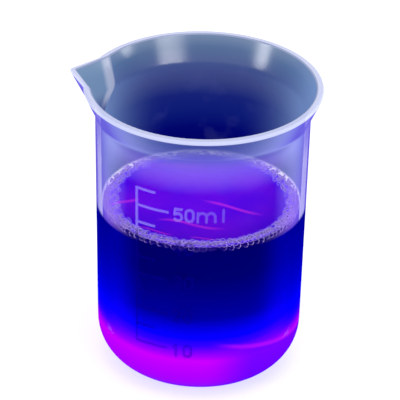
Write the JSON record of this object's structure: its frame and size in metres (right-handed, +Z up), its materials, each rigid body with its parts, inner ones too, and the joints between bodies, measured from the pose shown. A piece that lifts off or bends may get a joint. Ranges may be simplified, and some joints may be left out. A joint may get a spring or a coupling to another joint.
{
  "type": "graduated plastic beaker",
  "caption": "Translucent moulded beaker with flared rim, pouring lip and raised millilitre scale, part filled with violet-blue liquid and a ring of froth.",
  "frame": {"origin": "centre of the foot, on the plane the beaker stands on", "axes": "+Z up along the beaker's axis; the pouring lip points along -X; the scale faces -Y"},
  "size_m": [0.0515, 0.048, 0.0625],
  "materials": {
    "polypropylene": "smooth moulded, slightly milky, semi-gloss",
    "raised_scale": "the same moulding, raised lines with soft gloss",
    "violet_liquid": "clear deep violet-blue liquid, glossy surface",
    "froth": "wet soap-like bubbles, glossy"
  },
  "bodies": {
    "root": {"beaker": "polypropylene", "scale_stem": "raised_scale", "long_marks": "raised_scale", "short_marks": "raised_scale", "numeral_10": "raised_scale", "numeral_20": "raised_scale", "numeral_30": "raised_scale", "numeral_40": "raised_scale", "numeral_50": "raised_scale", "unit_ml": "raised_scale", "gate_mark": "polypropylene", "liquid": "violet_liquid", "foam_ring": "froth"}
  },
  "joints": []
}
